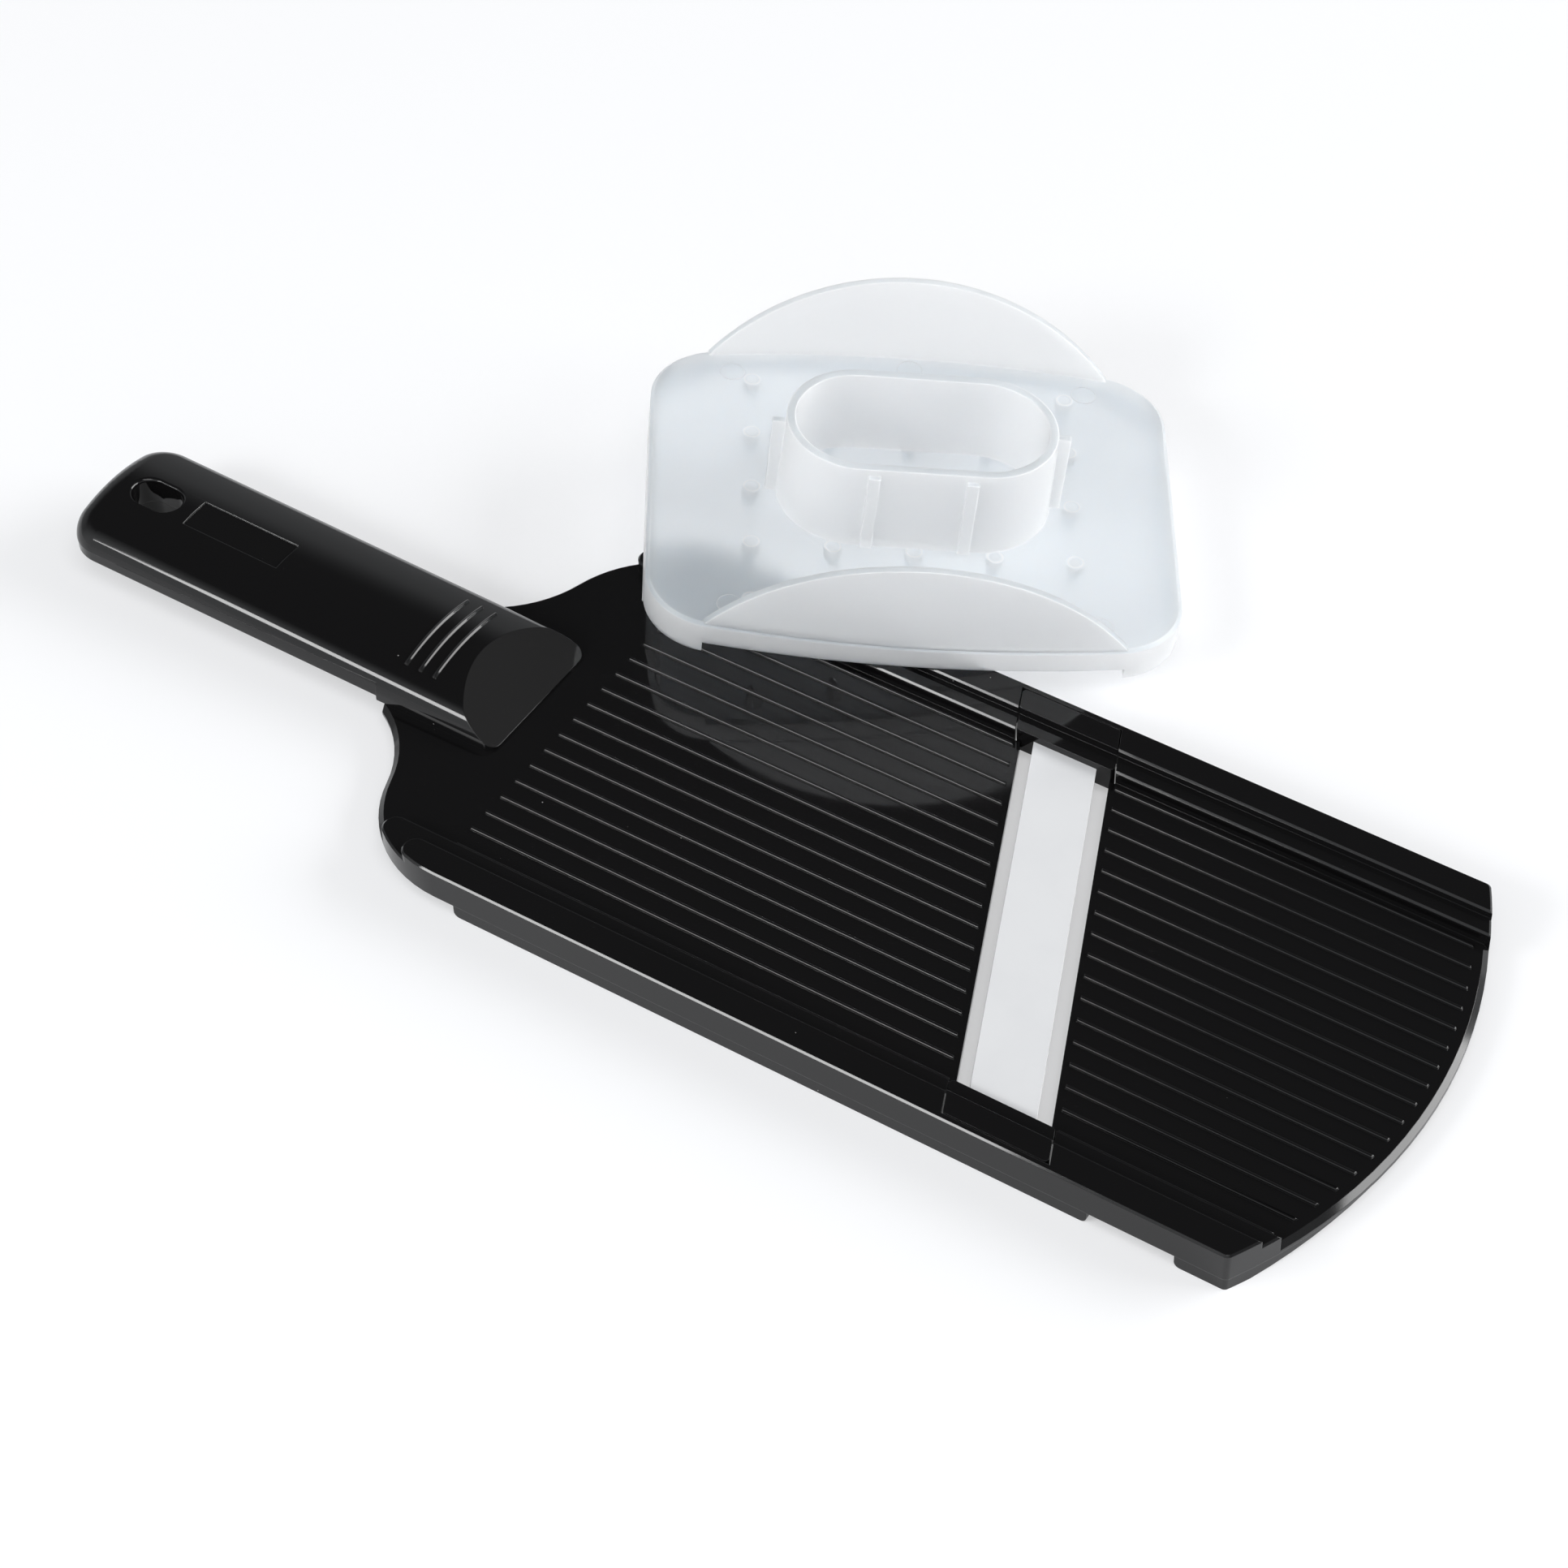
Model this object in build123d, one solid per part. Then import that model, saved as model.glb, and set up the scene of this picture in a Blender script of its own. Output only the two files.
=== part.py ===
from build123d import *
import os
from math import asin, cos, degrees, pi, radians, sin, tan

# Mandoline slicer: a ridged deck with stepped side rails and a bar handle, a slanted
# double-edged ceramic blade that a cranked wire raises, and a loose finger guard that
# leans on the far rail. Millimetres, +Z up. The pieces are drawn with Z 0 on the table,
# X 0 where the ridges start, +X away from the handle and +Y towards the far rail.

# Body
body_width = 104.0
body_reach = 190.5
end_sagitta = 14.0
deck_height = 5.6
plate_thickness = 1.9
wall = 1.6

# Ridges
ridge_pitch = 5.0
ridge_count = 17
ridge_width = 0.8
ridge_height = 0.5
ridge_end_margin = 3.0
ridge_slot_margin = 1.3

# Shoulders and neck
shoulder_x = 3.2
shoulder_radius = 26.5
shoulder_edge = 1.1
neck_radius = 25.8
neck_width = 29.2

# Rails: a ledge and a higher crest along each side, both measured from the outer side
ledge_width = 10.4
crest_width = 6.5
ledge_height = 2.6
crest_height = 4.4
rail_tip_radius = 2.8
rail_edge = 0.4

# Skirt under the sides, with the notch that hooks over a bowl's rim
skirt_start = 7.5
notch_length = 18.0
notch_margin = 24.5
skirt_corner = 1.3
skirt_inset = 0.25
end_corner_radius = 1.5
end_arch_half = 47.0

# Blade and the end blocks that carry it
blade_slant = 22.9
slot_x = 106.8
slot_width = 18.7
blade_width = 13.2
blade_thickness = 1.2
blade_bevel = 2.4
blade_rise = 1.0
blade_grip = 3.6
block_width = 20.5
block_edge_margin = 1.6
block_corner = 0.8
block_clearance = 0.25
block_cheek_depth = 2.0

# Thickness setting: half a crank's turn between two angles raises the blade
blade_lift = 1.5
crank_swing = 100.0
wire_radius = 1.0
crank_height = 3.1
crank_clearance = 0.15
crank_web = 0.9
web_clearance = 0.3
journal_clearance = 0.05
journal_length = 4.3
leg_width = 9.0
leg_bottom = 0.45
seat_width = 4.2
seat_bottom = 0.9
seat_grip = 0.55
barrel_radius = 1.9
barrel_length = 36.0
barrel_flutes = 8
flute_radius = 0.45

# Handle
handle_reach = 118.3
handle_width = 32.8
handle_front_x = -8.2
handle_front_slope = 31.0
handle_bottom = 6.2
handle_seam = 9.4
handle_crown = 13.1
handle_rise = 1.45
crown_radius = 36.0
handle_shoulder = 5.0
handle_corner = 8.0
handle_front_corner = 2.5
handle_round = 4.0
seam_step_x = -37.0
neck_ramp = 14.0
shell_wall = 2.2
cavity_start_x = -93.0
hang_x = -104.8
hang_length = 11.4
hang_width = 7.2
hang_rim = 0.8
hang_rim_slope = 40.0
recess_x = -83.0
recess_length = 24.1
recess_width = 7.5
recess_depth = 0.5
grip_rib_x = -26.1
grip_rib_pitch = 3.45
grip_rib_count = 3
grip_rib_length = 21.5
grip_rib_width = 0.9
grip_rib_top = 0.4
grip_rib_height = 0.45

# Finger guard, in its own frame: U across, V front to back, N up from the plate's top
guard_gap = 0.9
guard_depth = 89.4
guard_bulge = 5.2
guard_corner = 15.0
guard_plate = 1.8
guard_wall = 1.6
guard_edge = 0.7
wing_span = 85.0
wing_height = 20.9
wing_wall = 1.6
rim_depth = 5.2
tab_depth = 7.5
ring_length = 56.6
ring_width = 31.4
ring_height = 20.1
ring_wall = 1.8
ring_draft = 1.5
ring_rib_offset = 10.0
ring_rib_width = 2.4
ring_rib_depth = 0.7
ring_fin_width = 1.4
ring_fin_depth = 2.2
ring_rib_drop = 1.5
pin_pitch = 16.6
pin_rows = 5
pin_length = 5.0
pin_base_radius = 1.9
pin_tip_radius = 0.4
pin_sides = 8
pin_root = 0.2

# Where the guard leans: its front rim over the far crest, its right skirt on the table
guard_x = 30.1
guard_beyond = 28.1
guard_turn = 32.9
guard_tilt = 6.4
lean_clearance = 0.15

# Worked-out levels and lines
huge = 1000.0
half_width = body_width / 2
panel_top = deck_height - ridge_height
plate_bottom = panel_top - plate_thickness
ledge_top = deck_height + ledge_height
crest_top = deck_height + crest_height
ledge_y = half_width - ledge_width
crest_y = half_width - crest_width
block_outer_y = half_width - block_edge_margin
notch_start = body_reach - notch_margin - notch_length
end_radius = (half_width ** 2 + end_sagitta ** 2) / (2 * end_sagitta)
blade_top = deck_height + blade_rise
blade_bottom = blade_top - blade_thickness
block_ceiling = blade_bottom - 0.5 * wall
crank_angle = crank_swing / 2
crank_radius = blade_lift / 2 / sin(radians(crank_angle))
crank_pin_w = crank_radius * cos(radians(crank_angle))
crank_pin_z = crank_height - blade_lift / 2
crank_reach = crank_radius + wire_radius + crank_clearance
slant_sin = sin(radians(blade_slant))
slant_cos = cos(radians(blade_slant))
pin_start = (ledge_y - crank_reach * slant_sin) / slant_cos - web_clearance
pin_end = (ledge_y + wall + crank_reach * slant_sin) / slant_cos + web_clearance
journal_start = pin_end + crank_web
guard_width = body_width + 2 * (guard_wall + guard_gap)
guard_straight_v = guard_depth / 2 - guard_bulge - guard_corner
guard_y = half_width + guard_beyond
tilt_sin = sin(radians(guard_tilt))
tilt_cos = cos(radians(guard_tilt))
lean_u = (guard_depth / 2 * cos(radians(guard_turn)) - guard_beyond) / sin(radians(guard_turn))
guard_z = crest_top + lean_clearance + lean_u * tilt_sin + rim_depth * tilt_cos
side_skirt_depth = (guard_z - guard_width / 2 * tilt_sin) / tilt_cos

blade_frame = Pos(slot_x, 0, 0) * Rot(0, 0, blade_slant)
crown_frame = Pos(0, 0, handle_crown) * Rot(0, handle_rise, 0)


# A box between two X, two Y and two Z values
def span_box(x0, x1, y0, y1, z0, z1):
    center = Pos((x0 + x1) / 2, (y0 + y1) / 2, (z0 + z1) / 2)
    return center * Box(abs(x1 - x0), abs(y1 - y0), abs(z1 - z0))


# A slanted band along the blade, between two heights
def blade_band(width, z0, z1):
    return blade_frame * span_box(-width / 2, width / 2, -huge, huge, z0, z1)


# The strip between two distances from the centreline, on one side of it
def side_strip(side, y0, y1):
    return span_box(-huge, huge, side * y0, side * y1, -huge, huge)


# A round bar along the blade, between two distances from the blade's middle
def wire(radius, s0, s1, w=0.0, z=crank_height):
    start = Plane(origin=(w, s0, z), x_dir=(1, 0, 0), z_dir=(0, 1, 0))
    return blade_frame * extrude(start * Circle(radius), s1 - s0)


# Plan of the deck: neck, shoulders, straight sides and bowed end
def deck_outline():
    shoulder_y = half_width - shoulder_radius
    neck_y = neck_width / 2 + neck_radius
    reach = shoulder_radius + neck_radius
    turn = degrees(asin((neck_y - shoulder_y) / reach))
    neck_x = shoulder_x - reach * cos(radians(turn))
    side = [
        CenterArc((neck_x, neck_y), neck_radius, -90, 90 - turn),
        CenterArc((shoulder_x, shoulder_y), shoulder_radius, 180 - turn, turn - 90),
        Line((shoulder_x, half_width), (body_reach - end_sagitta, half_width)),
    ]
    end_angle = degrees(asin(half_width / end_radius))
    end = CenterArc((body_reach - end_radius, 0), end_radius, -end_angle, 2 * end_angle)
    back = Line((neck_x, -neck_width / 2), (neck_x, neck_width / 2))
    edges = side + [mirror(edge, about=Plane.XZ) for edge in side] + [end, back]
    outline = make_face(edges)
    corners = outline.vertices().sort_by(Axis.X)[-2:]
    return fillet(corners, end_corner_radius)


# One level of a rail: the outline outside a line, with its tip by the handle rounded
def rail_level(outline, side, inner_y, top):
    strip = Pos(0, side * (inner_y + half_width)) * Rectangle(huge, 2 * half_width)
    level = outline & strip
    level = fillet(level.vertices().sort_by(Axis.X)[0], rail_tip_radius)
    rail = extrude(Pos(0, 0, plate_bottom) * level, top - plate_bottom)
    rim = rail.edges().filter_by_position(Axis.Z, top - 0.01, top + 0.01)
    return chamfer(rim, rail_edge)


# Ridges on both panels, stopped short of the slot and of the bowed end
def ridges(outline):
    line = Rectangle(2 * body_reach, ridge_width)
    lines = Sketch() + [place * line for place in GridLocations(1, ridge_pitch, 1, ridge_count)]
    field = offset(outline, -ridge_end_margin) & (Pos(body_reach, 0) * Rectangle(2 * body_reach, huge))
    slot = blade_frame * Rectangle(slot_width + 2 * ridge_slot_margin, huge)
    return extrude(Pos(0, 0, panel_top) * (lines & (field - slot)), ridge_height)


# Thin wall under the outline, open along the bowl notch and before the first foot
def skirt(outline):
    rim = offset(outline, -skirt_inset)
    ring = extrude(rim - offset(rim, -wall), plate_bottom)
    feet = [(skirt_start, notch_start), (notch_start + notch_length, body_reach + huge)]
    profile = Sketch() + [
        Pos((x0 + x1) / 2, deck_height) * RectangleRounded(x1 - x0, 2 * deck_height, skirt_corner)
        for x0, x1 in feet
    ]
    ring = ring & extrude(Plane.XZ * profile, huge, both=True)
    arch = make_face([
        ThreePointArc((-end_arch_half, 0), (0, plate_bottom), (end_arch_half, 0)),
        Line((end_arch_half, 0), (-end_arch_half, 0)),
    ])
    return ring - extrude(Plane.YZ * arch, huge)


# Slot for the blade and the two pockets that guide the end blocks
def blade_opening():
    slot = blade_band(slot_width, -huge, huge) & span_box(-huge, huge, -ledge_y, ledge_y, -huge, huge)
    pocket = blade_band(block_width + 2 * block_clearance, -huge, huge)
    inner, outer = ledge_y - block_clearance, block_outer_y + block_clearance
    return slot + (pocket & side_strip(1, inner, outer)) + (pocket & side_strip(-1, inner, outer))


# Snap seat for one end of the crank wire, on the inner face of the side wall
def wire_seat(side):
    seat = blade_frame * span_box(
        -seat_width / 2, seat_width / 2, side * (journal_start + web_clearance), side * huge,
        seat_bottom, crank_height + seat_grip,
    )
    seat = seat & side_strip(side, 0, half_width - wall / 2)
    hole = wire(
        wire_radius + journal_clearance, side * journal_start,
        side * (journal_start + web_clearance + journal_length),
    )
    return seat - hole


# Round bar under the handle's crown, which rises towards the tip
def crown_bar(rise=0.0):
    section = Plane.YZ * Pos(0, rise - crown_radius) * Circle(crown_radius)
    return crown_frame * extrude(section, huge, both=True)


# Plan of the handle, with two of its corners rounded
def handle_plan(corners, radius):
    length = handle_reach + handle_front_x
    plan = Pos(handle_front_x - length / 2, 0) * Rectangle(length, handle_width)
    return fillet(plan.vertices().sort_by(Axis.X)[corners], radius)


# Outer form of the whole handle, down to the panel
def handle_form():
    tip, nose = slice(0, 2), slice(2, 4)
    bar = extrude(Pos(0, 0, panel_top) * handle_plan(tip, handle_corner), huge) & crown_bar()
    rim = bar.edges().filter_by_position(Axis.Z, handle_seam, huge)
    rim = rim.filter_by_position(Axis.X, -huge, handle_front_x - 1)
    bar = fillet(rim, handle_shoulder)
    slope = radians(handle_front_slope)
    front = Plane(
        origin=(handle_front_x, 0, deck_height), x_dir=(0, 1, 0), z_dir=(sin(slope), 0, cos(slope))
    )
    bar = split(bar, front, keep=Keep.BOTTOM)
    return bar & extrude(handle_plan(nose, handle_front_corner), huge)


# Part of the handle's form below the seam, which is moulded with the deck
def handle_base(form):
    belly = extrude(Pos(0, 0, handle_bottom) * handle_plan(slice(0, 2), handle_corner), huge)
    under = belly.edges().filter_by_position(Axis.Z, handle_bottom - 0.01, handle_bottom + 0.01)
    belly = fillet(under.filter_by_position(Axis.X, -huge, handle_front_x - 1), handle_round)
    base = form & belly & span_box(-huge, seam_step_x, -huge, huge, handle_bottom, handle_seam)
    ramp = make_face(Polyline(
        (seam_step_x, plate_bottom), (seam_step_x, handle_bottom + wall),
        (seam_step_x - 2 * neck_ramp, handle_bottom + wall),
        (seam_step_x - 2 * neck_ramp, handle_bottom), (seam_step_x - neck_ramp, plate_bottom), close=True,
    ))
    return base + extrude(Plane.XZ * ramp, handle_width / 2 - handle_round, both=True)


# Hanging slot through the handle
def hang_slot():
    return Pos(hang_x, 0, 0) * extrude(SlotOverall(hang_length, hang_width), huge)


def make_deck(outline, form):
    deck = extrude(Pos(0, 0, plate_bottom) * outline, plate_thickness)
    rim = deck.edges().filter_by_position(Axis.Z, panel_top - 0.01, panel_top + 0.01)
    rim = rim.filter_by(GeomType.CIRCLE).filter_by_position(Axis.X, -huge, shoulder_x)
    deck = chamfer(rim, shoulder_edge)
    for side in (1, -1):
        deck += rail_level(outline, side, ledge_y, ledge_top)
        deck += rail_level(outline, side, crest_y, crest_top)
    deck += skirt(outline)
    pocket_walls = blade_band(block_width + 2 * (block_clearance + wall), -huge, huge)
    for side in (1, -1):
        channel = span_box(
            skirt_start + wall, body_reach - end_sagitta - wall, side * (ledge_y + wall),
            side * (half_width - wall), -1, ledge_top - wall,
        )
        deck -= channel - pocket_walls
    deck -= blade_opening()
    deck += ridges(outline)
    deck += handle_base(form)
    deck -= hang_slot()
    for side in (1, -1):
        deck += wire_seat(side)
    return deck


def make_handle_shell(form):
    seam = span_box(-huge, seam_step_x, -huge, huge, handle_seam, huge)
    shell = form & (seam + span_box(seam_step_x, huge, -huge, huge, panel_top, huge))
    inner_width = handle_width - 2 * shell_wall
    cavity = span_box(
        cavity_start_x, seam_step_x - shell_wall, -inner_width / 2, inner_width / 2, 0, huge
    )
    shell -= cavity & crown_bar(-shell_wall)
    shell -= hang_slot()
    mouth = SlotOverall(hang_length + 2 * hang_rim, hang_width + 2 * hang_rim)
    mouth = extrude(mouth, -hang_rim / tan(radians(hang_rim_slope)), taper=hang_rim_slope)
    shell -= crown_frame * Pos(hang_x, 0, 0) * mouth
    shell -= crown_frame * span_box(
        recess_x - recess_length / 2, recess_x + recess_length / 2, -recess_width / 2,
        recess_width / 2, -recess_depth, huge,
    )
    return shell + grip_ribs()


# Thin raised ribs that follow the handle's crown
def grip_ribs():
    foot, top, root = grip_rib_width / 2, grip_rib_top / 2, crown_radius - grip_rib_height
    section = make_face(Polyline(
        (-foot, root), (foot, root), (foot, crown_radius), (top, crown_radius + grip_rib_height),
        (-top, crown_radius + grip_rib_height), (-foot, crown_radius), close=True,
    ))
    arc = degrees(grip_rib_length / crown_radius)
    rib = Rot(-arc / 2, 0, 0) * revolve(Plane.XZ * section, Axis.X, arc)
    ribs = Part()
    for i in range(grip_rib_count):
        ribs += crown_frame * Pos(grip_rib_x - i * grip_rib_pitch, 0, -crown_radius) * rib
    return ribs


def make_blade():
    half, foot = blade_width / 2, blade_width / 2 - blade_bevel
    section = make_face(Polyline(
        (-half, blade_top), (half, blade_top), (foot, blade_bottom), (-foot, blade_bottom), close=True
    ))
    bar = blade_frame * extrude(Plane.XZ * section, huge, both=True)
    reach = ledge_y + blade_grip
    return bar & span_box(-huge, huge, -reach, reach, -huge, huge)


# End block: rail-shaped top that grips the blade, over a leg with the crank's slot
def make_block(side, blade):
    prism = blade_band(block_width, block_ceiling - block_cheek_depth, crest_top)
    prism = prism & side_strip(side, ledge_y, block_outer_y)
    block = fillet(prism.edges().filter_by(Axis.Z), block_corner)
    block -= span_box(-huge, huge, side * 0, side * crest_y, ledge_top, huge)
    cavity = blade_band(block_width - 2 * wall, -huge, block_ceiling)
    block -= cavity & side_strip(side, ledge_y + wall, huge)
    block += blade_band(leg_width, leg_bottom, block_ceiling) & side_strip(side, ledge_y, ledge_y + wall)
    travel = crank_radius - crank_pin_w
    middle = crank_pin_w + travel / 2
    opening = SlotCenterToCenter(travel, 2 * (wire_radius + crank_clearance))
    start = Plane(origin=(middle, 0, crank_pin_z), x_dir=(1, 0, 0), z_dir=(0, side, 0))
    block -= blade_frame * extrude(start * opening, huge)
    return block - blade


# Bent wire: a straight run under the blade and a crank throw inside each end block
def make_crank():
    crank = wire(wire_radius, -pin_start, pin_start)
    for side in (1, -1):
        crank += wire(wire_radius, side * pin_start, side * pin_end, crank_pin_w, crank_pin_z)
        crank += wire(wire_radius, side * pin_end, side * (journal_start + journal_length))
        for near in (pin_start - crank_web, pin_end):
            arm = Plane(origin=(0, side * near, crank_height), x_dir=(1, 0, 0), z_dir=(0, side, 0))
            throw = SlotCenterToCenter(crank_radius, 2 * wire_radius)
            throw = Rot(0, 0, side * crank_angle) * Pos(crank_radius / 2, 0) * throw
            crank += blade_frame * extrude(arm * throw, crank_web)
    return crank


def make_barrel():
    barrel = wire(barrel_radius, -barrel_length / 2, barrel_length / 2)
    for i in range(barrel_flutes):
        angle = radians(360 / barrel_flutes * i)
        w, z = barrel_radius * cos(angle), crank_height + barrel_radius * sin(angle)
        barrel -= wire(flute_radius, -barrel_length / 2, barrel_length / 2, w, z)
    return barrel - wire(wire_radius, -huge, huge)


# Plan of the guard: straight sides, bowed front and back, round corners
def guard_outline():
    half_u, half_v = guard_width / 2, guard_depth / 2
    side_v = half_v - guard_bulge
    edges = [
        Line((-half_u, -side_v), (-half_u, side_v)),
        ThreePointArc((-half_u, side_v), (0, half_v), (half_u, side_v)),
        Line((half_u, side_v), (half_u, -side_v)),
        ThreePointArc((half_u, -side_v), (0, -half_v), (-half_u, -side_v)),
    ]
    outline = make_face(edges)
    return fillet(outline.vertices(), guard_corner)


# Upright shields over the bowed front and back edges
def guard_wings(outline):
    band = outline - offset(outline, -wing_wall)
    walls = extrude(Pos(0, 0, -guard_plate) * band, guard_plate + wing_height)
    radius = ((wing_span / 2) ** 2 + wing_height ** 2) / (2 * wing_height)
    segment = Pos(0, wing_height - radius) * Circle(radius) & Pos(0, wing_height) * Rectangle(
        wing_span, 2 * wing_height
    )
    return walls & extrude(Plane.XZ * segment, huge, both=True)


# Finger ring on the plate with its end fins and flat ribs
def guard_ring():
    ring = extrude(SlotOverall(ring_length, ring_width), ring_height, taper=ring_draft)
    rib_top = ring_height - ring_rib_drop
    for side in (1, -1):
        ring += span_box(
            side * (ring_length / 2 - ring_wall), side * (ring_length / 2 + ring_fin_depth),
            -ring_fin_width / 2, ring_fin_width / 2, 0, rib_top,
        )
        for u in (-ring_rib_offset, ring_rib_offset):
            ring += span_box(
                u - ring_rib_width / 2, u + ring_rib_width / 2, side * (ring_width / 2 - ring_wall),
                side * (ring_width / 2 + ring_rib_depth), 0, rib_top,
            )
    well = SlotOverall(ring_length - 2 * ring_wall, ring_width - 2 * ring_wall)
    return ring - extrude(well, ring_height, taper=ring_draft)


def make_guard():
    outline = guard_outline()
    guard = extrude(Pos(0, 0, -guard_plate) * outline, guard_plate)
    edge = extrude(outline - offset(outline, -guard_wall), -side_skirt_depth)
    edge -= span_box(-wing_span / 2, wing_span / 2, -huge, huge, -huge, -rim_depth)
    for side in (1, -1):
        edge -= span_box(-huge, huge, side * guard_straight_v, side * huge, -huge, -tab_depth)
    guard += edge
    guard = chamfer(guard.edges().group_by(Axis.Z)[-1], guard_edge)
    guard += guard_wings(outline)
    guard += guard_ring()
    foot = Pos(0, 0, -guard_plate) * RegularPolygon(pin_base_radius, pin_sides)
    spike = extrude(foot, -pin_length)
    end = spike.faces().sort_by(Axis.Z)[0]
    inset = (pin_base_radius - pin_tip_radius) * cos(pi / pin_sides)
    spike = chamfer(end.edges(), inset, pin_length - pin_root, reference=end)
    for place in GridLocations(pin_pitch, pin_pitch, pin_rows, pin_rows):
        guard += place * spike
    return Pos(guard_x, guard_y, guard_z) * Rot(0, 0, guard_turn) * Rot(0, guard_tilt, 0) * guard


outline = deck_outline()
form = handle_form()
blade = make_blade()
pieces = {
    "deck": make_deck(outline, form),
    "handle_shell": make_handle_shell(form),
    "ceramic_blade": blade,
    "blade_block_near": make_block(-1, blade),
    "blade_block_far": make_block(1, blade),
    "crank_wire": make_crank(),
    "thumb_barrel": make_barrel(),
    "finger_guard": make_guard(),
}

# The set stands on the table with the middle of its footprint on the origin
box = Compound(list(pieces.values())).bounding_box()
to_origin = Pos(-box.center().X, -box.center().Y, -box.min.Z)

os.makedirs("parts", exist_ok=True)
for name, piece in pieces.items():
    export_step(to_origin * piece, f"parts/{name}.step")
print("origin moved by", to_origin.position)
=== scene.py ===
import bpy
from math import cos, radians, sin
from mathutils import Matrix, Vector


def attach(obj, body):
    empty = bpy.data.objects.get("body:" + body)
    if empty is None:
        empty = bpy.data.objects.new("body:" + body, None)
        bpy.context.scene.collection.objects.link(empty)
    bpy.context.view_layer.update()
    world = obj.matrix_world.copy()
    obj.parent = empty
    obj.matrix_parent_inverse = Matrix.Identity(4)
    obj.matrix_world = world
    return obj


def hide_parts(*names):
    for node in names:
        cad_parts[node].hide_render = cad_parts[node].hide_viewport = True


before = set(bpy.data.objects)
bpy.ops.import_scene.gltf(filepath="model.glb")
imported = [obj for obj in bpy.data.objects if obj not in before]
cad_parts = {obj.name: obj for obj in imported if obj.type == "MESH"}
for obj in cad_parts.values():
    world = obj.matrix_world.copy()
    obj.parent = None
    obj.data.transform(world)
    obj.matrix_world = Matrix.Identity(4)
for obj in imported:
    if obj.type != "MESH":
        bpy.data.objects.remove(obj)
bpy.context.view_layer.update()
mm = 0.001


# a socket that can be used in sums, each sum adds its Math nodes
class Value:
    def __init__(self, finish, socket):
        self.finish = finish
        self.socket = socket

    def __add__(self, other):
        return self.finish.math("ADD", self, other)

    def __radd__(self, other):
        return self.finish.math("ADD", other, self)

    def __sub__(self, other):
        return self.finish.math("SUBTRACT", self, other)

    def __rsub__(self, other):
        return self.finish.math("SUBTRACT", other, self)

    def __mul__(self, other):
        return self.finish.math("MULTIPLY", self, other)


# the nodes of one material, or of the world
class Finish:
    bevelSamples = 6

    def __init__(self, owner):
        self.owner = owner
        self.owner.use_nodes = True
        self.tree = self.owner.node_tree
        self.tree.nodes.clear()

    # any node: settings first, then the values or links of its sockets
    def add(self, kind, settings=None, sockets=None, out=0):
        node = self.tree.nodes.new(kind)
        for name, value in (settings or {}).items():
            setattr(node, name, value)
        for name, value in (sockets or {}).items():
            if isinstance(value, Value):
                self.tree.links.new(value.socket, node.inputs[name])
            else:
                node.inputs[name].default_value = value
        return Value(self, node.outputs[out]) if len(node.outputs) else node

    def math(self, operation, *values):
        return self.add("ShaderNodeMath", {"operation": operation}, dict(enumerate(values)))

    # 0 below low, 1 above high, smooth between
    def rise(self, value, low, high):
        return self.add("ShaderNodeMapRange", {"interpolation_type": "SMOOTHSTEP"},
                        {"Value": value, "From Min": low, "From Max": high})

    def mixColor(self, factor, first, second):
        sockets = {"Factor": factor, 6: first, 7: second}
        return self.add("ShaderNodeMix", {"data_type": "RGBA"}, sockets, out=2)

    def noise(self, place, scale, detail):
        return self.add("ShaderNodeTexNoise", None, {"Vector": place, "Scale": scale, "Detail": detail})

    def objectPlace(self):
        return self.add("ShaderNodeTexCoord", out="Object")

    def turnedPlace(self, place, turn, scale):
        return self.add("ShaderNodeMapping", {"vector_type": "POINT"},
                        {"Vector": place, "Rotation": (0, 0, radians(turn)), "Scale": scale})

    def facing(self):
        return self.add("ShaderNodeNewGeometry", out="Normal")

    def dot(self, first, second):
        settings = {"operation": "DOT_PRODUCT"}
        return self.add("ShaderNodeVectorMath", settings, {0: first, 1: second}, out="Value")

    # the surface's normal with its edges rounded
    def rounded(self, radius):
        return self.add("ShaderNodeBevel", {"samples": self.bevelSamples}, {"Radius": radius})

    # share of the rounded edge at a point, from 0 on a flat to 1 on the edge itself
    def edgeShare(self, radius, low, high):
        return 1 - self.rise(self.dot(self.rounded(radius), self.facing()), low, high)

    def bump(self, height, strength, distance, normal=None):
        sockets = {"Strength": strength, "Distance": distance, "Height": height}
        if normal is not None:
            sockets["Normal"] = normal
        return self.add("ShaderNodeBump", None, sockets)

    def principled(self, sockets):
        return self.add("ShaderNodeBsdfPrincipled", None, sockets)

    def output(self, shader):
        self.add("ShaderNodeOutputMaterial", None, {"Surface": shader})
        return self.owner

    def surface(self, sockets):
        return self.output(self.principled(sockets))


# small light specks, a share of the Voronoi cells holds one
def specks(finish, place, cell, radius, share):
    cells = {"feature": "F1", "distance": "EUCLIDEAN"}
    sockets = {"Vector": place, "Scale": 1 / cell}
    distance = finish.add("ShaderNodeTexVoronoi", cells, sockets, out="Distance")
    colour = finish.add("ShaderNodeTexVoronoi", cells, sockets, out="Color")
    draw = finish.add("ShaderNodeSeparateColor", None, {"Color": colour})
    chosen = finish.math("LESS_THAN", draw, share)
    core = 0.5 * radius
    return (1 - finish.rise(distance, core / cell, radius / cell)) * chosen


# thin scratches that run one way
def scratches(finish, place, turn, length, spacing, share):
    along = finish.turnedPlace(place, turn, (1 / length, 1 / spacing, 1 / length))
    lines = finish.noise(along, 1.0, 1.0)
    core = 0.7 * share
    return finish.rise(lines, 1 - share, 1 - core)


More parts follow.
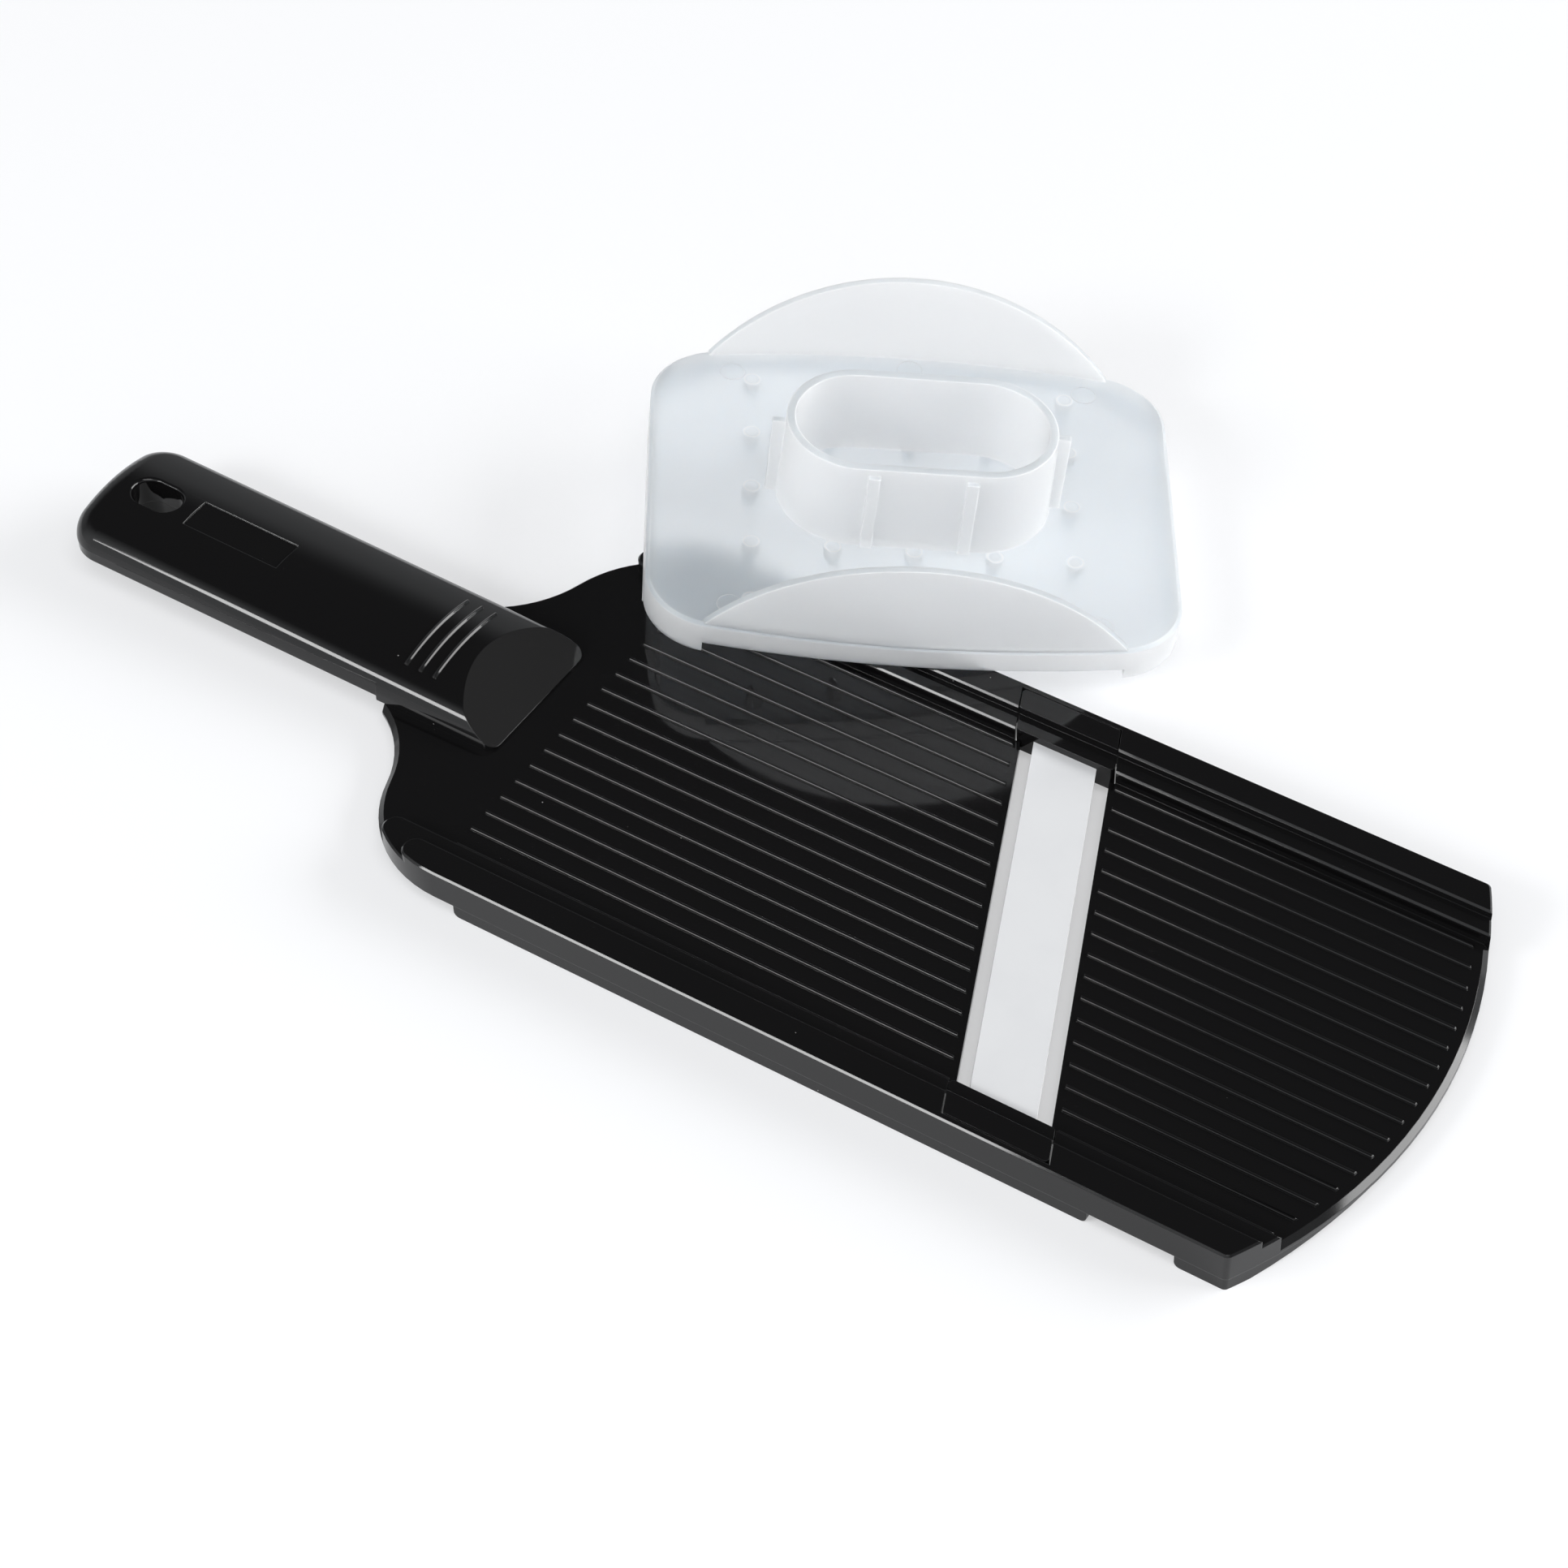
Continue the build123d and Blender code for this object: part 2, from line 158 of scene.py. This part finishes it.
# polished black moulding
blackLook = {
    "colour": (0.0042, 0.0040, 0.0042, 1),
    "dust": (0.42, 0.41, 0.40, 1),
    "ior": 1.46,
    "edge": 0.16 * mm,
    "polish": 0.06,
    "smear": 0.05,
    "smearScale": 55,
    "smearRange": (0.42, 0.72),
    "dustCell": 6.0 * mm,
    "dustRadius": 0.16 * mm,
    "dustShare": 0.30,
    "dustCover": 0.7,
    "crumbCell": 23.0 * mm,
    "crumbRadius": 0.26 * mm,
    "crumbShare": 0.16,
    "crumbCover": 0.5,
    "dirtRough": 0.6,
    "dirtHeight": 0.6,
    "fine": (24, 14 * mm, 0.16 * mm, 0.26),  # turn, length, spacing and share of scratches
    "cross": (-57, 9 * mm, 0.2 * mm, 0.24),
    "scratchRough": 0.04,
    "scratchDepth": 0.02,
    "wave": 0.02,
    "waveScale": 38,
    "waveHeight": 0.4 * mm,
}


def blackMoulding():
    look = blackLook
    finish = Finish(bpy.data.materials.new("blackMoulding"))
    place = finish.objectPlace()
    dust = specks(finish, place, look["dustCell"], look["dustRadius"], look["dustShare"])
    crumbs = specks(finish, place, look["crumbCell"], look["crumbRadius"], look["crumbShare"])
    lines = scratches(finish, place, *look["fine"]) + scratches(finish, place, *look["cross"])
    smear = finish.rise(finish.noise(place, look["smearScale"], 3.0), *look["smearRange"])
    dirt = finish.math("MAXIMUM", dust * look["dustCover"], crumbs * look["crumbCover"])
    colour = finish.mixColor(dirt, look["colour"], look["dust"])
    roughness = look["polish"] + smear * look["smear"]
    roughness = roughness + lines * look["scratchRough"] + dirt * look["dirtRough"]
    wave = finish.noise(place, look["waveScale"], 1.0)
    height = wave + dirt * look["dirtHeight"] - lines * look["scratchDepth"]
    normal = finish.bump(height, look["wave"], look["waveHeight"], finish.rounded(look["edge"]))
    return finish.surface({
        "Base Color": colour, "Roughness": roughness, "Normal": normal, "IOR": look["ior"],
    })


bladeTurn = -22.9  # degrees, the slant of the blade and of the wire under it

# ground white ceramic of the blade
ceramicLook = {
    "colour": (0.74, 0.745, 0.755, 1),
    "shade": (0.69, 0.695, 0.71, 1),
    "ior": 1.9,
    "edge": 0.12 * mm,
    "polish": 0.16,
    "cloudScale": 60,
    "cloudRange": (0.35, 0.75),
    "cloudShare": 0.6,
    "grindScale": (900, 30, 400),
    "grindRough": 0.08,
    "grind": 0.015,
    "grindDepth": 0.1 * mm,
}


def whiteCeramic():
    look = ceramicLook
    finish = Finish(bpy.data.materials.new("whiteCeramic"))
    place = finish.objectPlace()
    grind = finish.noise(finish.turnedPlace(place, bladeTurn, look["grindScale"]), 1.0, 2.0)
    cloud = finish.rise(finish.noise(place, look["cloudScale"], 3.0), *look["cloudRange"])
    colour = finish.mixColor(cloud * look["cloudShare"], look["colour"], look["shade"])
    roughness = look["polish"] + grind * look["grindRough"]
    normal = finish.bump(grind, look["grind"], look["grindDepth"], finish.rounded(look["edge"]))
    return finish.surface({
        "Base Color": colour, "Roughness": roughness, "Normal": normal, "IOR": look["ior"],
    })


# where the guard lies: the middle of its plate's top, its turn and its tilt
guardPlace = {"origin": (-6.0 * mm, 36.661 * mm, 17.253 * mm), "turn": 32.9, "tilt": 6.4}


def guardPlate():
    turn = Matrix.Rotation(radians(guardPlace["turn"]), 4, "Z")
    tilt = Matrix.Rotation(radians(guardPlace["tilt"]), 4, "Y")
    return Matrix.Translation(guardPlace["origin"]) @ turn @ tilt


# milky plastic of the finger guard, with painted highlight and glow: whiter, less clear at its edges,
# in the walls on its plate and in rings over its pins
milkyLook = {
    "colour": (0.835, 0.835, 0.84, 1),
    "haze": (0.86, 0.86, 0.865, 1),
    "bluish": (0.52, 0.74, 0.92, 1),
    "denseAndGlow": (0.90, 0.91, 0.915, 1),
    "clearSockets": {
        "IOR": 1.16, "Transmission Weight": 0.78,
        "Coat Weight": 0.7, "Coat Roughness": 0.28, "Coat IOR": 1.49,
    },
    "denseAndGlowSockets": {"IOR": 1.49, "Roughness": 0.32},
    "glowSockets": {
        "Subsurface Weight": 1.0, "Subsurface Radius": (1.0, 1.0, 1.0), "Subsurface Scale": 3.0 * mm,
    },
    "roughness": 0.70,
    "cloudScale": 28,
    "cloudRange": (0.35, 0.7),
    "cloudRough": 0.08,
    "grainScale": 900,
    "grain": 0.02,
    "grainDepth": 0.2 * mm,
    "edge": 0.35 * mm,
    # the rim, wall and sink shares whiten the plate there as painted highlight and glow
    "rim": 1.0 * mm,
    "rimRange": (0.72, 0.985),
    "rimHighlightShare": 0.75,
    "wallRange": (0.35, 0.8),
    "wallGlowShare": 0.32,
    "glowRange": (0.0, 0.3),
    "mist": 0.08,
    "pinPitch": 16.6 * mm,
    "pinField": (38.0 * mm, 39.0 * mm),
    "sinkRadius": 1.6 * mm,
    "sinkLine": 0.5 * mm,
    "sinkReach": (0.2 * mm, 0.5 * mm),
    "sinkDepth": 0.08 * mm,
    "sinkHighlightShare": 0.35,
}


# soft ring over each pin underneath: a sink mark in the plate's top, which is also painted whiter there
# as a highlight
def sinkRings(finish, place):
    look = milkyLook
    half = look["pinPitch"] / 2
    local = finish.add("ShaderNodeMapping", {"vector_type": "TEXTURE"}, {
        "Vector": place, "Location": guardPlace["origin"],
        "Rotation": (0, radians(guardPlace["tilt"]), radians(guardPlace["turn"])),
    })
    u, v, height = [finish.add("ShaderNodeSeparateXYZ", None, {0: local}, out=axis) for axis in "XYZ"]
    du = finish.math("WRAP", u, half, -half)
    dv = finish.math("WRAP", v, half, -half)
    away = finish.math("ABSOLUTE", finish.math("SQRT", du * du + dv * dv) - look["sinkRadius"])
    far = finish.math("MAXIMUM", finish.math("ABSOLUTE", u), finish.math("ABSOLUTE", v))
    field = 1 - finish.rise(far, *look["pinField"])
    onTop = 1 - finish.rise(finish.math("ABSOLUTE", height), *look["sinkReach"])
    return (1 - finish.rise(away, 0.0, look["sinkLine"])) * field * onTop


# share of a wall that stands on the plate, from 0 on the plate's own faces
def uprightShare(finish):
    plateUp = guardPlate().to_3x3() @ Vector((0, 0, 1))
    level = finish.math("ABSOLUTE", finish.dot(finish.facing(), tuple(plateUp)))
    return 1 - finish.rise(level, *milkyLook["wallRange"])


def milkyPlastic():
    look = milkyLook
    finish = Finish(bpy.data.materials.new("milkyPlastic"))
    place = finish.objectPlace()
    cloud = finish.noise(place, look["cloudScale"], 3.0)
    grain = finish.noise(place, look["grainScale"], 2.0)
    colour = finish.mixColor(finish.rise(cloud, *look["cloudRange"]), look["colour"], look["haze"])
    roughness = look["roughness"] + cloud * look["cloudRough"]
    fine = finish.bump(grain, look["grain"], look["grainDepth"], finish.rounded(look["edge"]))
    # the rings bump the plate as sink marks and also paint it whiter there as a highlight
    sinkAndHighlight = sinkRings(finish, place)
    normal = finish.bump(sinkAndHighlight, 1.0, look["sinkDepth"], fine)
    clear = finish.principled({
        "Base Color": colour, "Roughness": roughness, "Normal": normal,
        **look["clearSockets"], **look["glowSockets"],
    })
    # painted highlight and glow: rounded edges, walls standing on the plate and rings over the pins are
    # mixed towards whiter, denser plastic
    rim = finish.edgeShare(look["rim"], *look["rimRange"]) * look["rimHighlightShare"]
    paintedGlow = finish.math("MAXIMUM", rim, uprightShare(finish) * look["wallGlowShare"])
    paintedGlow = finish.math("MAXIMUM", paintedGlow, sinkAndHighlight * look["sinkHighlightShare"])
    whiter = finish.mixColor(finish.rise(paintedGlow, *look["glowRange"]), look["bluish"], look["denseAndGlow"])
    denseAndGlow = finish.principled({
        "Base Color": whiter, "Normal": normal, **look["denseAndGlowSockets"], **look["glowSockets"],
    })
    # an even milky share everywhere, plus the painted glow
    share = look["mist"] + paintedGlow * (1 - look["mist"])
    return finish.output(finish.add("ShaderNodeMixShader", None, {0: share, 1: clear, 2: denseAndGlow}))


# drawn steel wire of the thickness setting
wireLook = {
    "dark": (0.52, 0.52, 0.53, 1),
    "light": (0.64, 0.64, 0.65, 1),
    "polish": 0.24,
    "drawScale": (2500, 60, 2500),
    "drawRough": 0.16,
}


def steelWire():
    look = wireLook
    finish = Finish(bpy.data.materials.new("steelWire"))
    place = finish.objectPlace()
    draw = finish.noise(finish.turnedPlace(place, bladeTurn, look["drawScale"]), 1.0, 2.0)
    colour = finish.mixColor(draw, look["dark"], look["light"])
    roughness = look["polish"] + draw * look["drawRough"]
    return finish.surface({"Base Color": colour, "Roughness": roughness, "Metallic": 1.0})


# fluted barrel that the thumb turns
barrelLook = {
    "dark": (0.018, 0.018, 0.019, 1),
    "light": (0.03, 0.03, 0.031, 1),
    "polish": 0.42,
    "grainScale": 1400,
    "grainRough": 0.15,
    "grain": 0.2,
    "grainDepth": 0.05 * mm,
}


def barrelPlastic():
    look = barrelLook
    finish = Finish(bpy.data.materials.new("barrelPlastic"))
    grain = finish.noise(finish.objectPlace(), look["grainScale"], 2.0)
    colour = finish.mixColor(grain, look["dark"], look["light"])
    roughness = look["polish"] + grain * look["grainRough"]
    normal = finish.bump(grain, look["grain"], look["grainDepth"])
    return finish.surface({"Base Color": colour, "Roughness": roughness, "Normal": normal})


def selectOnly(piece):
    bpy.ops.object.select_all(action="DESELECT")
    piece.select_set(True)
    bpy.context.view_layer.objects.active = piece


# faces or edges picked by a test on their corners, everything else let go
def pick(piece, kind, test):
    bpy.ops.object.mode_set(mode="EDIT")
    bpy.ops.mesh.select_mode(type="FACE" if kind == "polygons" else "EDGE")
    bpy.ops.mesh.select_all(action="DESELECT")
    bpy.ops.object.mode_set(mode="OBJECT")
    corners = piece.data.vertices
    for item in getattr(piece.data, kind):
        item.select = test([corners[index].co for index in item.vertices])
    bpy.ops.object.mode_set(mode="EDIT")


# the ridges' square tops take the soft edges of a moulding
ridgeLook = {
    "foot": 5.1 * mm,
    "top": 5.6 * mm,
    "edge": 0.30 * mm,
    "segments": 5,
    "slack": 0.01 * mm,
    "flat": 1,  # degrees within which faces of one side count as flat
}


def roundRidges(piece):
    look = ridgeLook
    low = look["foot"] - look["slack"]
    high = look["top"] - look["slack"]
    limit = look["top"] + look["slack"]

    def onRidge(corners):
        heights = [corner.z for corner in corners]
        return min(heights) > low and high < max(heights) < limit

    def onTop(corners):
        return all(high < corner.z < limit for corner in corners)

    pick(piece, "polygons", onRidge)
    bpy.ops.mesh.dissolve_limited(angle_limit=radians(look["flat"]))
    pick(piece, "edges", onTop)
    bpy.ops.mesh.bevel(offset=look["edge"], segments=look["segments"], affect="EDGES")
    bpy.ops.object.mode_set(mode="OBJECT")


handleAxis = -43.4391 * mm  # Y of the handle's middle

# the handle's underside is fuller than a plain fillet, and the neck plate ends under it
bellyLook = {
    "end": -73.0 * mm,  # X where the moulded base meets the shell's step
    "tip": -154.4 * mm,
    "bottom": 6.2 * mm,
    "seam": 9.4 * mm,
    "half": 16.4 * mm,
    "corner": 8.0 * mm,
    "round": 4.0 * mm,
    "newRound": 1.6 * mm,
    "drop": 0.95 * mm,  # how much lower the belly lies at the neck than at the tip
    "plateTop": 5.2 * mm,
    "tuck": 0.7,
    "slack": 0.1 * mm,
}


# how far a point lies inside the handle's outline, and which way is out
def insideHandle(x, side):
    look = bellyLook
    sign = 1 if side > 0 else -1
    overX = look["tip"] + look["corner"] - x
    overY = abs(side) - look["half"] + look["corner"]
    if overX > 0 and overY > 0:
        reach = (overX ** 2 + overY ** 2) ** 0.5
        return look["corner"] - reach, (-overX / reach, sign * overY / reach)
    if look["half"] - abs(side) < x - look["tip"]:
        return look["half"] - abs(side), (0, sign)
    return x - look["tip"], (-1, 0)


# whether a point belongs to the fillet under the handle
def onFillet(inset, height):
    look = bellyLook
    slack = look["slack"]
    if not -slack < inset < look["round"] + slack:
        return False
    if not -slack < height < look["seam"] - slack - look["bottom"]:
        return False
    away = ((look["round"] - inset) ** 2 + (look["round"] - height) ** 2) ** 0.5
    return abs(away - look["round"]) < slack


def fillBelly(piece):
    look = bellyLook
    shrink = look["newRound"] / look["round"]
    for corner in piece.data.vertices:
        place = corner.co
        if place.x > look["end"]:
            continue
        side = place.y - handleAxis
        height = place.z - look["bottom"]
        inset, out = insideHandle(place.x, side)
        if place.z < look["plateTop"] and inset < look["round"] - look["slack"]:
            place.y = handleAxis + side * look["tuck"]
        elif onFillet(inset, height):
            along = (place.x - look["tip"]) / (look["end"] - look["tip"])
            place.x += out[0] * inset * (1 - shrink)
            place.y += out[1] * inset * (1 - shrink)
            place.z = look["bottom"] + height * shrink - look["drop"] * along


def shapeDeck(piece):
    roundRidges(piece)
    fillBelly(piece)


# round bar that the handle's crown is part of: a point on its top, its lean and its radius
crownLook = {
    "place": (-36.1 * mm, handleAxis, 13.1 * mm),
    "rise": 1.45,
    "radius": 36.0 * mm,
    "slack": 0.02 * mm,
    "level": 0.9,  # how squarely a face of the crown faces out
}

# ribs, hanging slot and bare recess on the crown, measured along the bar
gripLook = {
    "ribFirst": -26.1 * mm,
    "ribPitch": 3.45 * mm,
    "ribCount": 3,
    "ribHalf": 0.45 * mm,
    "lean": 45,  # slope of a rib's flanks in the shading
    "end": 0.75,  # how squarely a rib's end faces sideways
}
hangLook = {"middle": -104.8 * mm, "straight": 2.1 * mm, "reach": 4.75 * mm, "rim": 0.9 * mm}
recessLook = {
    "middle": -83.0 * mm,
    "length": 24.1 * mm,
    "width": 7.5 * mm,
    "edge": 0.3 * mm,
    "segments": 5,
}


def crownBar():
    look = crownLook
    bar = Matrix.Translation(look["place"]) @ Matrix.Rotation(radians(look["rise"]), 4, "Y")
    return bar @ Matrix.Translation((0, 0, -look["radius"]))


def fromAxis(place):
    return Vector((place.y, place.z)).length


def onCrown(place):
    return abs(fromAxis(place) - crownLook["radius"]) < crownLook["slack"]


# the strips between the ribs are laid again as short quads that keep to the crown
def layStrips(piece):
    toBar = crownBar().inverted()
    look = gripLook
    slack = crownLook["slack"]
    for index in range(look["ribCount"] - 1):
        high = look["ribFirst"] - index * look["ribPitch"] - look["ribHalf"]
        low = high - look["ribPitch"] + 2 * look["ribHalf"]

        def onStrip(corners):
            places = [toBar @ corner for corner in corners]
            return all(onCrown(place) and low - slack < place.x < high + slack for place in places)

        def onFoot(corners):
            places = [toBar @ corner for corner in corners]
            return all(onCrown(place) for place in places) and any(
                all(abs(place.x - foot) < slack for place in places) for foot in (low, high))

        pick(piece, "polygons", onStrip)
        bpy.ops.mesh.delete(type="FACE")
        pick(piece, "edges", onFoot)
        bpy.ops.mesh.bridge_edge_loops()
        bpy.ops.object.mode_set(mode="OBJECT")


def roundRecess(piece):
    toBar = crownBar().inverted()
    look = recessLook
    slack = crownLook["slack"]

    def onRim(corners):
        places = [toBar @ corner for corner in corners]
        along = [abs(place.x - look["middle"]) - look["length"] / 2 for place in places]
        across = [abs(place.y) - look["width"] / 2 for place in places]
        inside = max(along) < slack and max(across) < slack
        edge = min(along) > -slack or min(across) > -slack
        return inside and edge and all(onCrown(place) for place in places)

    pick(piece, "edges", onRim)
    bpy.ops.mesh.bevel(offset=look["edge"], segments=look["segments"], affect="EDGES")
    bpy.ops.object.mode_set(mode="OBJECT")


def shapeShell(piece):
    layStrips(piece)
    roundRecess(piece)


# which way a rib's flank leans, or None off the ribs
def ribLean(place):
    look = gripLook
    if fromAxis(place) < crownLook["radius"] - crownLook["slack"]:
        return None
    index = round((look["ribFirst"] - place.x) / look["ribPitch"])
    offset = place.x - look["ribFirst"] + index * look["ribPitch"]
    if not 0 <= index < look["ribCount"] or abs(offset) > look["ribHalf"] + crownLook["slack"]:
        return None
    return radians(look["lean"]) * (1 if offset > 0 else -1)


# the way into the hanging slot from a point of its wall or mouth, or None off the slot
def slotInward(place):
    look = hangLook
    along = place.x - look["middle"]
    spare = along - min(max(along, -look["straight"]), look["straight"])
    out = Vector((spare, place.y, 0))
    return -out.normalized() if out.length < look["reach"] else None


# the crown's faces shade as the round bar itself, and its ribs and the slot's rim as rounded
def shadeCrown(piece):
    bar = crownBar()
    toBar = bar.inverted()
    turn = bar.to_3x3()
    level = crownLook["level"]
    places = [toBar @ corner.co for corner in piece.data.vertices]
    spokes = [Vector((0, place.y, place.z)).normalized() for place in places]
    leans = [ribLean(place) for place in places]
    inward = [slotInward(place) for place in places]
    normals = [Vector(corner.vector) for corner in piece.data.corner_normals]
    for face in piece.data.polygons:
        facing = toBar.to_3x3() @ face.normal
        upward = facing.dot(spokes[face.vertices[0]])
        sideways = abs(facing.y)
        flush = upward > level and all(onCrown(places[index]) for index in face.vertices)
        ribbed = sideways < gripLook["end"] and all(leans[index] is not None for index in face.vertices)
        slotted = abs(upward) < level and all(inward[index] is not None for index in face.vertices)
        for loop in face.loop_indices:
            index = piece.data.loops[loop].vertex_index
            spoke = spokes[index]
            if flush:
                normals[loop] = turn @ spoke
            elif ribbed:
                lean = leans[index]
                normals[loop] = turn @ (spoke * cos(lean) + Vector((sin(lean), 0, 0)))
            elif slotted:
                depth = crownLook["radius"] - fromAxis(places[index])
                share = min(max(depth / hangLook["rim"], 0), 1)
                normals[loop] = turn @ (spoke * (1 - share) + inward[index] * share).normalized()
    piece.data.normals_split_custom_set(normals)


# a merged, smooth copy that stands for its CAD node
dressLook = {"merge": 0.002 * mm, "smooth": 22, "weight": 90}


def dressNode(node, name, body, material, shape=None, shading=None):
    look = dressLook
    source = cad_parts[node]
    piece = source.copy()
    piece.data = source.data.copy()
    piece.name = name
    for key in list(piece.keys()):
        if key.startswith("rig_"):
            del piece[key]
    piece.parent = None
    bpy.context.scene.collection.objects.link(piece)
    selectOnly(piece)
    bpy.ops.mesh.customdata_custom_splitnormals_clear()
    bpy.ops.object.mode_set(mode="EDIT")
    bpy.ops.mesh.select_all(action="SELECT")
    bpy.ops.mesh.remove_doubles(threshold=look["merge"])
    bpy.ops.object.mode_set(mode="OBJECT")
    if shape:
        shape(piece)
    bpy.ops.object.shade_smooth_by_angle(angle=radians(look["smooth"]))
    level = piece.modifiers.new("level", "WEIGHTED_NORMAL")
    level.keep_sharp = True
    level.weight = look["weight"]
    bpy.ops.object.modifier_apply(modifier=level.name)
    if shading:
        shading(piece)
    piece.data.materials.clear()
    piece.data.materials.append(material)
    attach(piece, body)
    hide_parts(node)
    print("dressed", node, len(piece.data.polygons), "faces")


black = blackMoulding()
milky = milkyPlastic()
dressNode("deck", "deckMoulding", "frame", black, shapeDeck)
dressNode("handle_shell", "handleShell", "frame", black, shapeShell, shadeCrown)
dressNode("blade_block_near", "bladeBlockNear", "blade_carrier", black)
dressNode("blade_block_far", "bladeBlockFar", "blade_carrier", black)
dressNode("ceramic_blade", "ceramicBlade", "blade_carrier", whiteCeramic())
dressNode("crank_wire", "crankWire", "adjuster", steelWire())
dressNode("thumb_barrel", "thumbBarrel", "adjuster", barrelPlastic())
dressNode("finger_guard", "fingerGuard", "guard", milky)
print("pieces dressed")

# thin ejector rings that the mould left on top of the guard's plate
markLook = {
    "radius": 2.6 * mm,
    "line": 0.13 * mm,
    "segments": 48,
    "sides": 8,
    "flatten": 0.7,  # lower than wide
    "places": [(-37.4, 35.2), (0.4, 39.8), (37.4, 35.2), (-37.4, -35.2), (37.4, -35.2)],
}


def ejectorMarks():
    look = markLook
    plate = guardPlate()
    bpy.ops.object.select_all(action="DESELECT")
    rings = []
    for u, v in look["places"]:
        bpy.ops.mesh.primitive_torus_add(
            major_radius=look["radius"], minor_radius=look["line"],
            major_segments=look["segments"], minor_segments=look["sides"],
        )
        ring = bpy.context.object
        bpy.ops.object.mode_set(mode="EDIT")
        bpy.ops.mesh.select_all(action="SELECT")
        bpy.ops.transform.resize(value=(1, 1, look["flatten"]))
        bpy.ops.object.mode_set(mode="OBJECT")
        ring.matrix_world = plate @ Matrix.Translation((u * mm, v * mm, 0))
        rings.append(ring)
    for ring in rings:
        ring.select_set(True)
    bpy.ops.object.join()
    marks = bpy.context.object
    marks.name = "ejectorMarks"
    bpy.ops.object.transform_apply(location=True, rotation=True, scale=True)
    bpy.ops.object.shade_smooth()
    marks.data.materials.append(milky)
    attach(marks, "guard")


ejectorMarks()
print("ejector marks set")

# pale floor, partly lifted to white for the eye and more so through the milky plastic
floorLook = {
    "size": 12.0,
    "colour": (0.915, 0.92, 0.94, 1),
    "white": (1, 1, 1, 1),
    "lift": 0.42,
    "glossLift": 0.3,
    "throughLift": 0.8,
}


def paleFloor():
    look = floorLook
    finish = Finish(bpy.data.materials.new("paleFloor"))
    seen, gloss, through = [finish.add("ShaderNodeLightPath", out=ray) for ray in
                            ("Is Camera Ray", "Is Glossy Ray", "Is Transmission Ray")]
    direct = finish.math("MAXIMUM", seen * look["lift"], gloss * look["glossLift"])
    lift = finish.math("MAXIMUM", direct, through * look["throughLift"])
    matt = finish.add("ShaderNodeBsdfDiffuse", None, {"Color": look["colour"]})
    glow = finish.add("ShaderNodeEmission", None, {"Color": look["white"], "Strength": 1.0})
    return finish.output(finish.add("ShaderNodeMixShader", None, {0: lift, 1: matt, 2: glow}))


bpy.ops.object.select_all(action="DESELECT")
bpy.ops.mesh.primitive_plane_add(size=floorLook["size"], location=(0, 0, 0))
floor = bpy.context.object
floor.name = "paleFloor"
floor.data.materials.append(paleFloor())
print("floor laid")

# soft studio light: place, what it faces, width, height and power
studio = {
    "key": ((-0.594, -1.119, 0.805), (0.0, 0.0, 0.0), 0.55, 0.32, 7.6),
    "top": ((0.45, -0.42, 1.45), (0.0, 0.0, 0.0), 0.9, 0.7, 7.0),
    "side": ((2.04, 1.6, 0.95), (-0.05, 0.0, 0.0), 2.2, 1.4, 76.0),
    "rear": ((0.65, 0.85, 1.0), (0.0, 0.0, 0.0), 0.8, 0.8, 0.7),
}
for name, (place, target, width, height, power) in studio.items():
    light = bpy.data.lights.new(name, "AREA")
    light.shape = "RECTANGLE"
    light.size = width
    light.size_y = height
    light.energy = power
    lamp = bpy.data.objects.new(name, light)
    lamp.location = place
    lamp.rotation_euler = (Vector(target) - Vector(place)).to_track_quat("-Z", "Y").to_euler()
    bpy.context.scene.collection.objects.link(lamp)
print("lamps set")

# pale walls in front, grey walls behind, a low pale horizon and a dim ceiling
wallLook = {
    "colour": (0.95, 0.975, 1.0, 1),
    "front": 0.9,
    "frontRange": (0.05, 0.7),
    "back": 0.36,
    "backRange": (0.40, 0.70),
    "horizon": 0.6,
    "horizonRange": (0.05, 0.17),
    "dim": 0.08,
    "through": 0.8,
}


def studioWorld():
    look = wallLook
    finish = Finish(bpy.data.worlds.new("studioWorld"))
    place = finish.add("ShaderNodeTexCoord", out="Generated")
    height = finish.add("ShaderNodeSeparateXYZ", None, {0: place}, out="Z")
    depth = finish.add("ShaderNodeSeparateXYZ", None, {0: place}, out="Y")
    front = finish.rise(0 - depth, *look["frontRange"]) * look["front"]
    horizon = (1 - finish.rise(height, *look["horizonRange"])) * look["horizon"]
    back = (1 - finish.rise(height, *look["backRange"])) * look["back"]
    walls = finish.math("MAXIMUM", finish.math("MAXIMUM", front, horizon), back)
    through = finish.add("ShaderNodeLightPath", out="Is Transmission Ray") * look["through"]
    strength = finish.math("MAXIMUM", walls + look["dim"], through)
    glow = finish.add("ShaderNodeBackground", None, {"Color": look["colour"], "Strength": strength})
    finish.add("ShaderNodeOutputWorld", None, {"Surface": glow})
    return finish.owner


bpy.context.scene.world = studioWorld()
print("world set")

# camera at the photo's angle
view = {
    "place": (0.32398, -0.50101, 0.59823),
    "forward": (-0.38532, 0.56911, -0.72639),
    "right": (0.8400, 0.5421, -0.0209),
    "lens": 95.27,
    "sensor": 36.0,
    "near": 0.01,
}
cameraData = bpy.data.cameras.new("photoView")
cameraData.lens = view["lens"]
cameraData.sensor_width = view["sensor"]
cameraData.clip_start = view["near"]
camera = bpy.data.objects.new("photoView", cameraData)
forward = Vector(view["forward"]).normalized()
right = (Vector(view["right"]) - forward * forward.dot(Vector(view["right"]))).normalized()
up = right.cross(forward)
turn = Matrix((right, up, -forward)).transposed()
camera.matrix_world = Matrix.Translation(view["place"]) @ turn.to_4x4()
bpy.context.scene.collection.objects.link(camera)
bpy.context.scene.camera = camera
bpy.context.scene.view_settings.view_transform = "Standard"
print("camera set")
